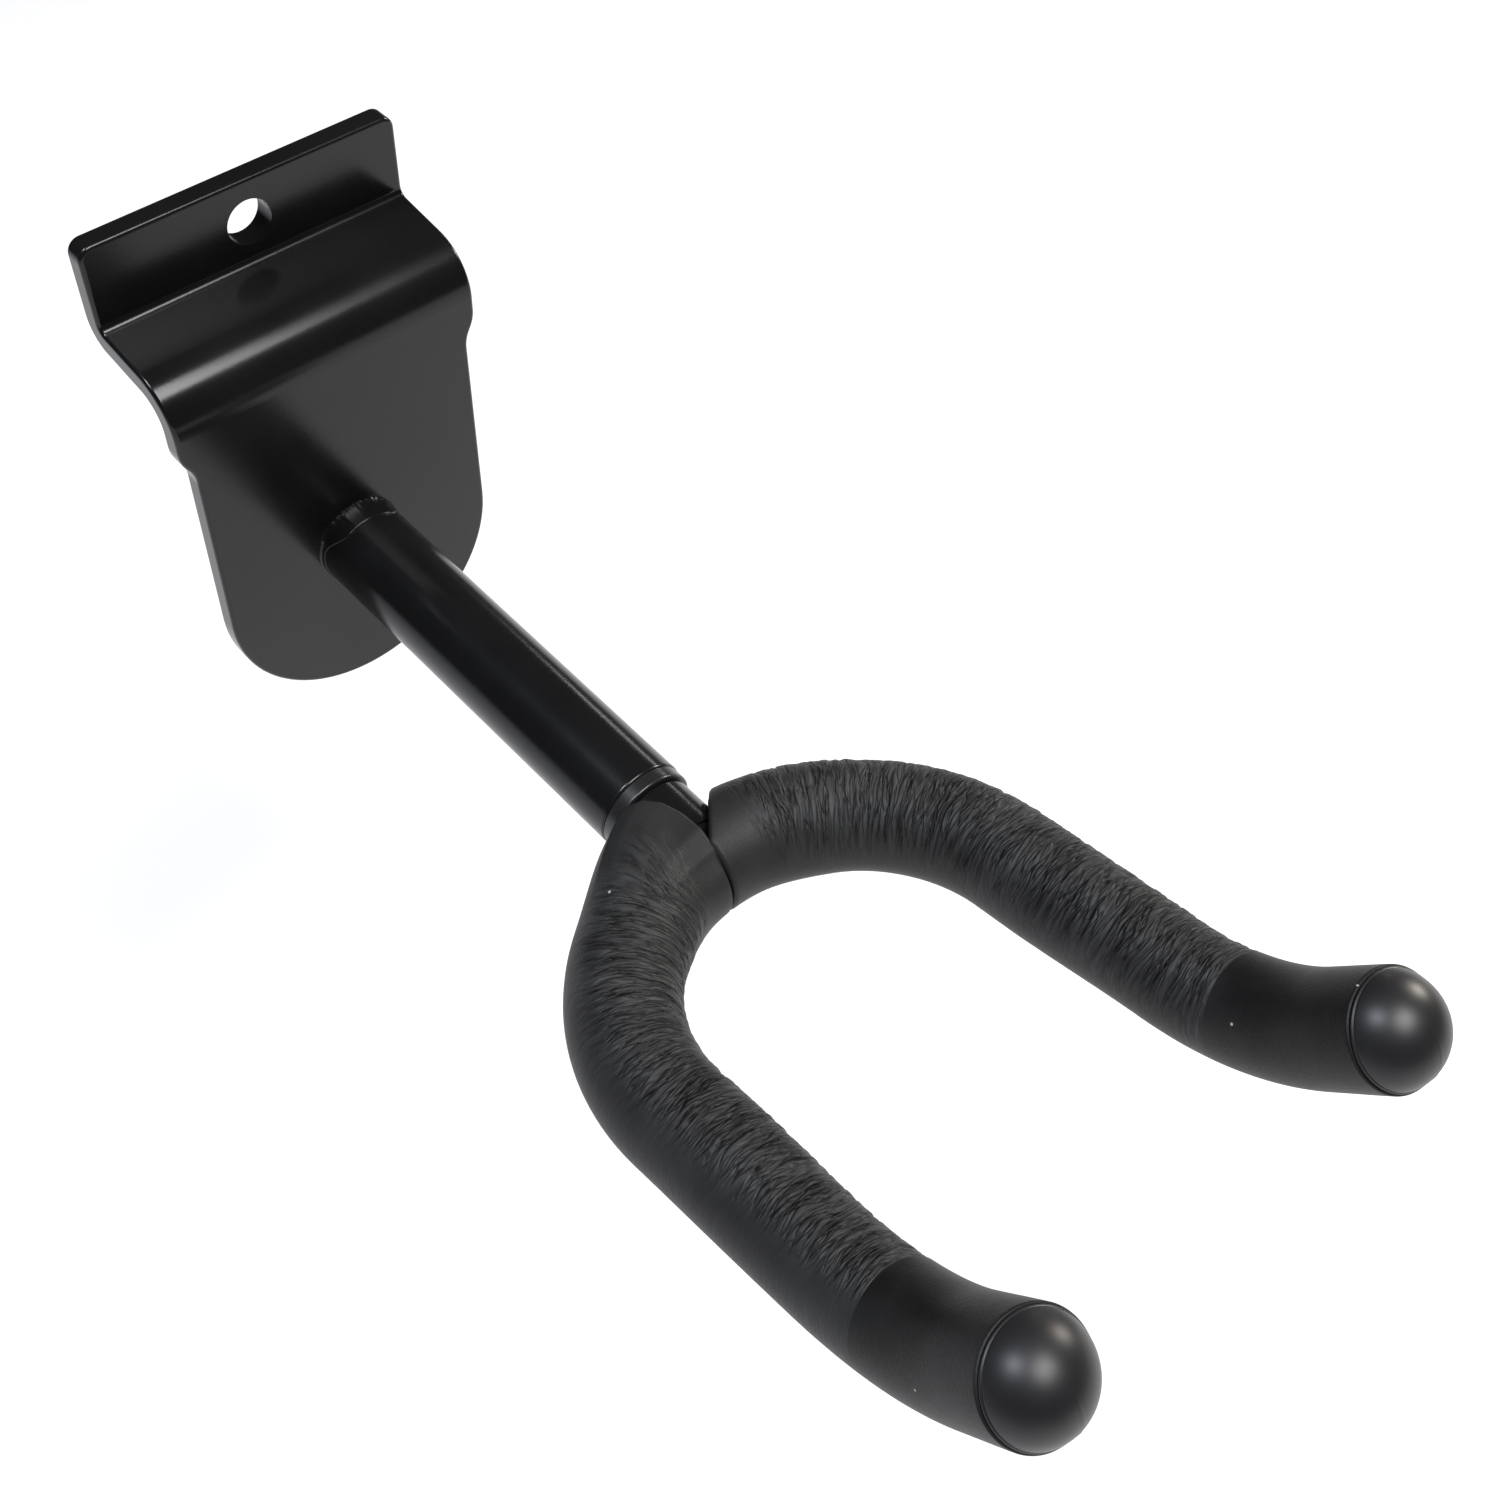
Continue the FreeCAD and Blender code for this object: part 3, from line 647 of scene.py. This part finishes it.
class HANGER_OT_weld_bead(bpy.types.Operator):
    """Make the weld bead between the tube and the bracket"""

    bl_idname = "hanger.weld_bead"
    bl_label = "Weld Bead"

    def execute(self, context):
        material = NODES["arm_tube"].material_slots[0].material
        build_weld(context.scene.hanger_weld, material)
        return {"FINISHED"}


# --- shared finish effects -------------------------------------------------------------------


def new_group(name, inputs, outputs):
    """A shader node group; inputs are {name: default}, outputs are names of float sockets."""
    group = bpy.data.node_groups.new(name, "ShaderNodeTree")
    for socket_name, default in inputs.items():
        kind = "NodeSocketVector" if default is None else "NodeSocketFloat"
        socket = group.interface.new_socket(socket_name, in_out="INPUT", socket_type=kind)
        if default is not None:
            socket.default_value = default
    for socket_name in outputs:
        group.interface.new_socket(socket_name, in_out="OUTPUT", socket_type="NodeSocketFloat")
    return group, group.nodes.new("NodeGroupInput"), group.nodes.new("NodeGroupOutput")


def math_maker(tree):
    """A function that adds one Math node to a tree, from numbers or sockets, and gives its
    output."""
    def maths(operation, first, second):
        node = tree.nodes.new("ShaderNodeMath")
        node.operation = operation
        for socket, value in zip(node.inputs, (first, second)):
            if isinstance(value, (int, float)):
                socket.default_value = value
            else:
                tree.links.new(value, socket)
        return node.outputs[0]

    return maths


def grain_group():
    """Fine and coarse noise: a height for bump, and a mask that varies slowly."""
    if "Grain" in bpy.data.node_groups:
        return bpy.data.node_groups["Grain"]
    group, inside, outside = new_group(
        "Grain", {"Vector": None, "Fine Scale": 2000.0, "Coarse Scale": 60.0}, ["Height", "Mottle"])
    fine = group.nodes.new("ShaderNodeTexNoise")
    fine.inputs["Detail"].default_value = 3.0
    coarse = group.nodes.new("ShaderNodeTexNoise")
    coarse.inputs["Detail"].default_value = 4.0
    for texture, scale in ((fine, "Fine Scale"), (coarse, "Coarse Scale")):
        group.links.new(inside.outputs["Vector"], texture.inputs["Vector"])
        group.links.new(inside.outputs[scale], texture.inputs["Scale"])
    group.links.new(fine.outputs["Fac"], outside.inputs["Height"])
    group.links.new(coarse.outputs["Fac"], outside.inputs["Mottle"])
    return group


def dust_group():
    """Sparse small specks."""
    if "Dust" in bpy.data.node_groups:
        return bpy.data.node_groups["Dust"]
    group, inside, outside = new_group(
        "Dust", {"Vector": None, "Scale": 120.0, "Size": 0.028}, ["Specks"])
    cells = group.nodes.new("ShaderNodeTexVoronoi")
    pick = group.nodes.new("ShaderNodeMath")
    pick.operation = "LESS_THAN"
    group.links.new(inside.outputs["Vector"], cells.inputs["Vector"])
    group.links.new(inside.outputs["Scale"], cells.inputs["Scale"])
    group.links.new(cells.outputs["Distance"], pick.inputs[0])
    group.links.new(inside.outputs["Size"], pick.inputs[1])
    group.links.new(pick.outputs[0], outside.inputs["Specks"])
    return group


def start_material(name):
    """A new material, its node tree and Principled shader, and a grain group on Object
    coordinates."""
    material = bpy.data.materials.new(name)
    material.use_nodes = True
    tree = material.node_tree
    shader = tree.nodes["Principled BSDF"]
    place = tree.nodes.new("ShaderNodeTexCoord")
    grain = tree.nodes.new("ShaderNodeGroup")
    grain.node_tree = grain_group()
    tree.links.new(place.outputs["Object"], grain.inputs["Vector"])
    return material, tree, shader, grain


def vary_colour(tree, shader, mask, dark, light, low=0.35, high=0.65):
    ramp = tree.nodes.new("ShaderNodeValToRGB")
    ramp.color_ramp.elements[0].position = low
    ramp.color_ramp.elements[0].color = (*dark, 1)
    ramp.color_ramp.elements[1].position = high
    ramp.color_ramp.elements[1].color = (*light, 1)
    tree.links.new(mask, ramp.inputs["Fac"])
    tree.links.new(ramp.outputs["Color"], shader.inputs["Base Color"])
    return ramp


def vary_roughness(tree, shader, mask, low, high):
    spread = tree.nodes.new("ShaderNodeMapRange")
    spread.inputs["To Min"].default_value = low
    spread.inputs["To Max"].default_value = high
    tree.links.new(mask, spread.inputs["Value"])
    tree.links.new(spread.outputs["Result"], shader.inputs["Roughness"])


def add_bump(tree, shader, height, strength, depth):
    bump = tree.nodes.new("ShaderNodeBump")
    bump.inputs["Strength"].default_value = strength
    bump.inputs["Distance"].default_value = depth
    tree.links.new(height, bump.inputs["Height"])
    tree.links.new(bump.outputs["Normal"], shader.inputs["Normal"])


def shade(colour, factor):
    return tuple(min(channel * factor, 1.0) for channel in colour)


def coat_material(finish):
    """Satin black powder coat with a faint orange peel."""
    material, tree, shader, grain = start_material("Black Powder Coat")
    grain.inputs["Fine Scale"].default_value = 1400.0
    grain.inputs["Coarse Scale"].default_value = 45.0
    vary_colour(tree, shader, grain.outputs["Mottle"],
                shade(finish.coat_colour, 0.85), shade(finish.coat_colour, 1.2))
    vary_roughness(tree, shader, grain.outputs["Mottle"],
                   finish.coat_roughness - 0.05, finish.coat_roughness + 0.06)
    add_bump(tree, shader, grain.outputs["Height"], 0.10, 0.06 * MM)
    shader.inputs["Specular IOR Level"].default_value = 0.32
    return material


def nylon_material():
    """Smooth moulded nylon."""
    material, tree, shader, grain = start_material("Black Nylon")
    vary_colour(tree, shader, grain.outputs["Mottle"], (0.010, 0.010, 0.010), (0.016, 0.016, 0.016))
    vary_roughness(tree, shader, grain.outputs["Mottle"], 0.24, 0.34)
    add_bump(tree, shader, grain.outputs["Height"], 0.08, 0.04 * MM)
    return material


def steel_material(finish):
    """Drawn and turned bare steel."""
    material, tree, shader, grain = start_material("Bare Steel")
    shader.inputs["Metallic"].default_value = 1.0
    grain.inputs["Fine Scale"].default_value = 900.0
    vary_colour(tree, shader, grain.outputs["Mottle"],
                shade(finish.steel_colour, 0.8), finish.steel_colour)
    vary_roughness(tree, shader, grain.outputs["Height"], 0.25, 0.45)
    return material


def creases_group():
    """A group that gives the height of creases across a skin, from its own coordinates."""
    defaults = {"Vector": None, "Along": 9.0, "Around": 2.4, "Slant": 0.3, "Sharpness": 15.0}
    group, inside, outside = new_group("Cross Creases", defaults, ["Height"])
    nodes, links, maths = group.nodes, group.links, math_maker(group)

    split = nodes.new("ShaderNodeSeparateXYZ")
    links.new(inside.outputs["Vector"], split.inputs[0])
    sway = nodes.new("ShaderNodeTexNoise")
    sway.inputs["Scale"].default_value = 1.3
    sway.inputs["Detail"].default_value = 1.0
    links.new(inside.outputs["Vector"], sway.inputs["Vector"])
    swayed = maths("ADD", split.outputs[0], maths("MULTIPLY", sway.outputs["Fac"], 0.16))
    slanted = maths("ADD", swayed, maths("MULTIPLY", split.outputs[1], inside.outputs["Slant"]))
    join = nodes.new("ShaderNodeCombineXYZ")
    links.new(maths("MULTIPLY", slanted, inside.outputs["Along"]), join.inputs[0])
    links.new(maths("MULTIPLY", split.outputs[1], inside.outputs["Around"]), join.inputs[1])
    lines = nodes.new("ShaderNodeTexNoise")
    lines.inputs["Scale"].default_value = 1.0
    lines.inputs["Detail"].default_value = 1.5
    links.new(join.outputs[0], lines.inputs["Vector"])
    away = maths("ABSOLUTE", maths("SUBTRACT", lines.outputs["Fac"], 0.5), 0.0)
    depth = maths("MULTIPLY", away, inside.outputs["Sharpness"])
    links.new(maths("MINIMUM", depth, 1.0), outside.inputs["Height"])
    return group


def foam_material(finish, tip_start):
    """Charcoal foam rubber: a soft skin with fine pores, cross creases and dust specks. Its colour carries
    painted shade in the creases, a painted sheen on the ridges and a painted darker smooth tip.
    """
    material, tree, shader, grain = start_material("Foam Rubber")
    nodes, links, maths = tree.nodes, tree.links, math_maker(tree)
    grain.inputs["Fine Scale"].default_value = 2600.0
    grain.inputs["Coarse Scale"].default_value = 90.0
    skin = nodes.new("ShaderNodeUVMap")
    skin.uv_map = "skin"
    where = nodes.new("ShaderNodeAttribute")
    where.attribute_name = "wrinkled"
    group = creases_group()
    layers = []
    for along, around, slant in ((8.5, 1.05, 0.10), (6.8, 1.3, -0.13), (4.0, 0.8, 0.03)):
        layer = nodes.new("ShaderNodeGroup")
        layer.node_tree = group
        layer.inputs["Along"].default_value = along
        layer.inputs["Around"].default_value = around
        layer.inputs["Slant"].default_value = slant
        links.new(skin.outputs["UV"], layer.inputs["Vector"])
        layers.append(layer.outputs["Height"])

    ridges = maths("ADD", maths("ADD", layers[0], layers[1]), maths("MULTIPLY", layers[2], 1.2))
    height = maths("MULTIPLY", ridges, where.outputs["Fac"])
    pores = maths("MULTIPLY", grain.outputs["Height"], 0.22)
    add_bump(tree, shader, maths("ADD", height, pores), 1.0, finish.foam_relief)

    # Painted shade and sheen: the colour is darker down in the creases and lighter on the ridges; the random
    # mottle is added on top.
    crease_shade_and_ridge_sheen = maths("MULTIPLY", maths("SUBTRACT", ridges, 1.95), where.outputs["Fac"])
    shade_sheen_and_mottle = maths("ADD", maths("MULTIPLY", crease_shade_and_ridge_sheen, 0.36), grain.outputs["Mottle"])
    along = nodes.new("ShaderNodeSeparateXYZ")
    links.new(skin.outputs["UV"], along.inputs[0])
    # Painted shade: the smooth tip is made darker than the wrinkled part, whose ridges carry the painted
    # sheen.
    shaded_tip = maths("GREATER_THAN", along.outputs[0], tip_start)
    shade_sheen_and_mottle = maths("SUBTRACT", shade_sheen_and_mottle, maths("MULTIPLY", shaded_tip, 0.38))
    ramp = vary_colour(tree, shader, shade_sheen_and_mottle, shade(finish.foam_colour, 0.25),
                       shade(finish.foam_colour, 1.9), 0.05, 0.95)
    dust = nodes.new("ShaderNodeGroup")
    dust.node_tree = dust_group()
    place = nodes.new("ShaderNodeTexCoord")
    links.new(place.outputs["Object"], dust.inputs["Vector"])
    dusted = nodes.new("ShaderNodeMixRGB")
    dusted.inputs["Color2"].default_value = (0.35, 0.35, 0.35, 1)
    links.new(dust.outputs["Specks"], dusted.inputs["Fac"])
    links.new(ramp.outputs["Color"], dusted.inputs["Color1"])
    links.new(dusted.outputs["Color"], shader.inputs["Base Color"])
    vary_roughness(tree, shader, grain.outputs["Height"], 0.44, 0.58)
    shader.inputs["Specular IOR Level"].default_value = 0.22
    return material


def cap_material(finish):
    """Black rubber of the end caps."""
    material, tree, shader, grain = start_material("Cap Rubber")
    grain.inputs["Fine Scale"].default_value = 1200.0
    vary_colour(tree, shader, grain.outputs["Mottle"],
                shade(finish.cap_colour, 0.9), shade(finish.cap_colour, 1.2))
    vary_roughness(tree, shader, grain.outputs["Mottle"], 0.36, 0.46)
    add_bump(tree, shader, grain.outputs["Height"], 0.05, 0.05 * MM)
    shader.inputs["Specular IOR Level"].default_value = 0.42
    return material


class HANGER_OT_metal_finish(bpy.types.Operator):
    """Give the metal and plastic parts their finishes"""

    bl_idname = "hanger.metal_finish"
    bl_label = "Metal Finish"

    def execute(self, context):
        finish = context.scene.hanger_finish
        finishes = {
            coat_material(finish): ("wall_bracket", "arm_tube", "tube_weld", "swivel_stem",
                                    "yoke_rod", "yoke_welds"),
            nylon_material(): ("front_bush", "rear_bush"),
            steel_material(finish): ("retaining_ring",),
        }
        for material, names in finishes.items():
            for name in names:
                node = NODES[name]
                if not node.material_slots:
                    node.data.materials.append(material)
                for slot in node.material_slots:
                    slot.material = material
        return {"FINISHED"}


# --- stage -----------------------------------------------------------------------------------


LIGHT_DISTANCE = 1.6
FLOOR_SIZE = 3.2
BACKDROP_STRENGTH, FILL_STRENGTH = 0.9, 0.035

# Name, direction from the object, width, height, power in watts, and colour.
LIGHTS = (
    ("overhead_front", (0.084, -0.384, 0.915), 0.80, 0.66, 28.0, (1.0, 1.0, 1.0)),
    ("overhead_left", (-0.405, 0.189, 0.90), 0.42, 0.42, 17.0, (0.86, 0.90, 1.0)),
    ("side_right", (0.925, -0.034, 0.367), 0.30, 0.30, 13.0, (1.0, 0.93, 0.84)),
    ("back_right", (0.843, 0.494, 0.21), 0.16, 0.12, 0.55, (1.0, 1.0, 1.0)),
)


def area_light(name, direction, width, height, power, colour, target):
    """A soft light that shines on the target from the given direction."""
    light = bpy.data.lights.new(name, "AREA")
    light.shape = "RECTANGLE"
    light.size = width
    light.size_y = height
    light.energy = power
    light.color = colour
    lamp = bpy.data.objects.new(name, light)
    bpy.context.scene.collection.objects.link(lamp)
    towards = Vector(direction).normalized()
    lamp.location = target + towards * LIGHT_DISTANCE
    lamp.rotation_euler = towards.to_track_quat("Z", "Y").to_euler()


def build_floor(stage):
    low = CAD_BOX[0][2] - stage.floor_drop
    bpy.ops.mesh.primitive_plane_add(size=FLOOR_SIZE, location=(0, 0, low))
    floor = bpy.context.active_object
    floor.name = "floor"
    material = bpy.data.materials.new("Pale Floor")
    material.use_nodes = True
    shader = material.node_tree.nodes["Principled BSDF"]
    shader.inputs["Base Color"].default_value = (0.92, 0.92, 0.92, 1)
    shader.inputs["Roughness"].default_value = 0.7
    floor.data.materials.append(material)


def build_camera(stage):
    camera = bpy.data.objects.new("camera", bpy.data.cameras.new("camera"))
    bpy.context.scene.collection.objects.link(camera)
    azimuth, elevation, roll = stage.camera_azimuth, stage.camera_elevation, stage.camera_roll
    back = Vector((math.sin(azimuth) * math.cos(elevation),
                   -math.cos(azimuth) * math.cos(elevation), math.sin(elevation)))
    right = Vector((math.cos(azimuth), math.sin(azimuth), 0))
    up = back.cross(right)
    rolled_right = right * math.cos(roll) + up * math.sin(roll)
    rolled_up = up * math.cos(roll) - right * math.sin(roll)
    turn = Matrix((rolled_right, rolled_up, back)).transposed().to_4x4()
    place = Vector(stage.camera_target) + back * stage.camera_distance
    camera.matrix_world = Matrix.Translation(place) @ turn
    camera.data.lens = stage.camera_lens
    camera.data.sensor_width = 36
    camera.data.clip_start = 0.01
    bpy.context.scene.camera = camera


def build_world(scene):
    """A pale backdrop to the camera, with little fill light on the black parts."""
    world = bpy.data.worlds.new("studio")
    scene.world = world
    world.use_nodes = True
    nodes, links = world.node_tree.nodes, world.node_tree.links
    background = nodes["Background"]
    background.inputs["Color"].default_value = (0.95, 0.97, 1.0, 1)
    sight = nodes.new("ShaderNodeLightPath")
    strength = nodes.new("ShaderNodeMapRange")
    strength.inputs["To Min"].default_value = FILL_STRENGTH
    strength.inputs["To Max"].default_value = BACKDROP_STRENGTH
    links.new(sight.outputs["Is Camera Ray"], strength.inputs["Value"])
    links.new(strength.outputs["Result"], background.inputs["Strength"])


class HANGER_OT_stage(bpy.types.Operator):
    """Set up the floor, the lights and the camera"""

    bl_idname = "hanger.stage"
    bl_label = "Stage"

    def execute(self, context):
        scene = context.scene
        build_floor(scene.hanger_stage)
        build_camera(scene.hanger_stage)
        middle = (Vector(CAD_BOX[0]) + Vector(CAD_BOX[1])) / 2
        for light in LIGHTS:
            area_light(*light, middle)
        build_world(scene)
        scene.view_settings.view_transform = "Standard"
        return {"FINISHED"}


# --- panel and registration ------------------------------------------------------------------


class HANGER_PT_panel(bpy.types.Panel):
    """Lists the hanger's operators"""

    bl_label = "Guitar Hanger"
    bl_idname = "HANGER_PT_panel"
    bl_space_type = "VIEW_3D"
    bl_region_type = "UI"
    bl_category = "Guitar Hanger"

    def draw(self, context):
        for operator in OPERATORS:
            self.layout.operator(operator.bl_idname)
        for settings in SETTINGS:
            group = getattr(context.scene, settings)
            box = self.layout.box()
            for name in group.bl_rna.properties.keys():
                if name not in ("rna_type", "name"):
                    box.prop(group, name)


SETTINGS = {
    "hanger_yoke": HangerYokeSettings,
    "hanger_caps": HangerCapSettings,
    "hanger_weld": HangerWeldSettings,
    "hanger_finish": HangerFinishSettings,
    "hanger_stage": HangerStageSettings,
}
OPERATORS = (
    HANGER_OT_metal_finish,
    HANGER_OT_foam_sleeves,
    HANGER_OT_end_caps,
    HANGER_OT_weld_bead,
    HANGER_OT_stage,
)


def register():
    for settings in SETTINGS.values():
        bpy.utils.register_class(settings)
    for name, settings in SETTINGS.items():
        setattr(bpy.types.Scene, name, bpy.props.PointerProperty(type=settings))
    for operator in OPERATORS:
        bpy.utils.register_class(operator)
    bpy.utils.register_class(HANGER_PT_panel)


def unregister():
    bpy.utils.unregister_class(HANGER_PT_panel)
    for operator in reversed(OPERATORS):
        bpy.utils.unregister_class(operator)
    for name, settings in SETTINGS.items():
        delattr(bpy.types.Scene, name)
        bpy.utils.unregister_class(settings)


def main():
    register()
    bpy.ops.hanger.metal_finish()
    bpy.ops.hanger.foam_sleeves()
    bpy.ops.hanger.end_caps()
    bpy.ops.hanger.weld_bead()
    bpy.ops.hanger.stage()


if __name__ == "__main__":
    main()
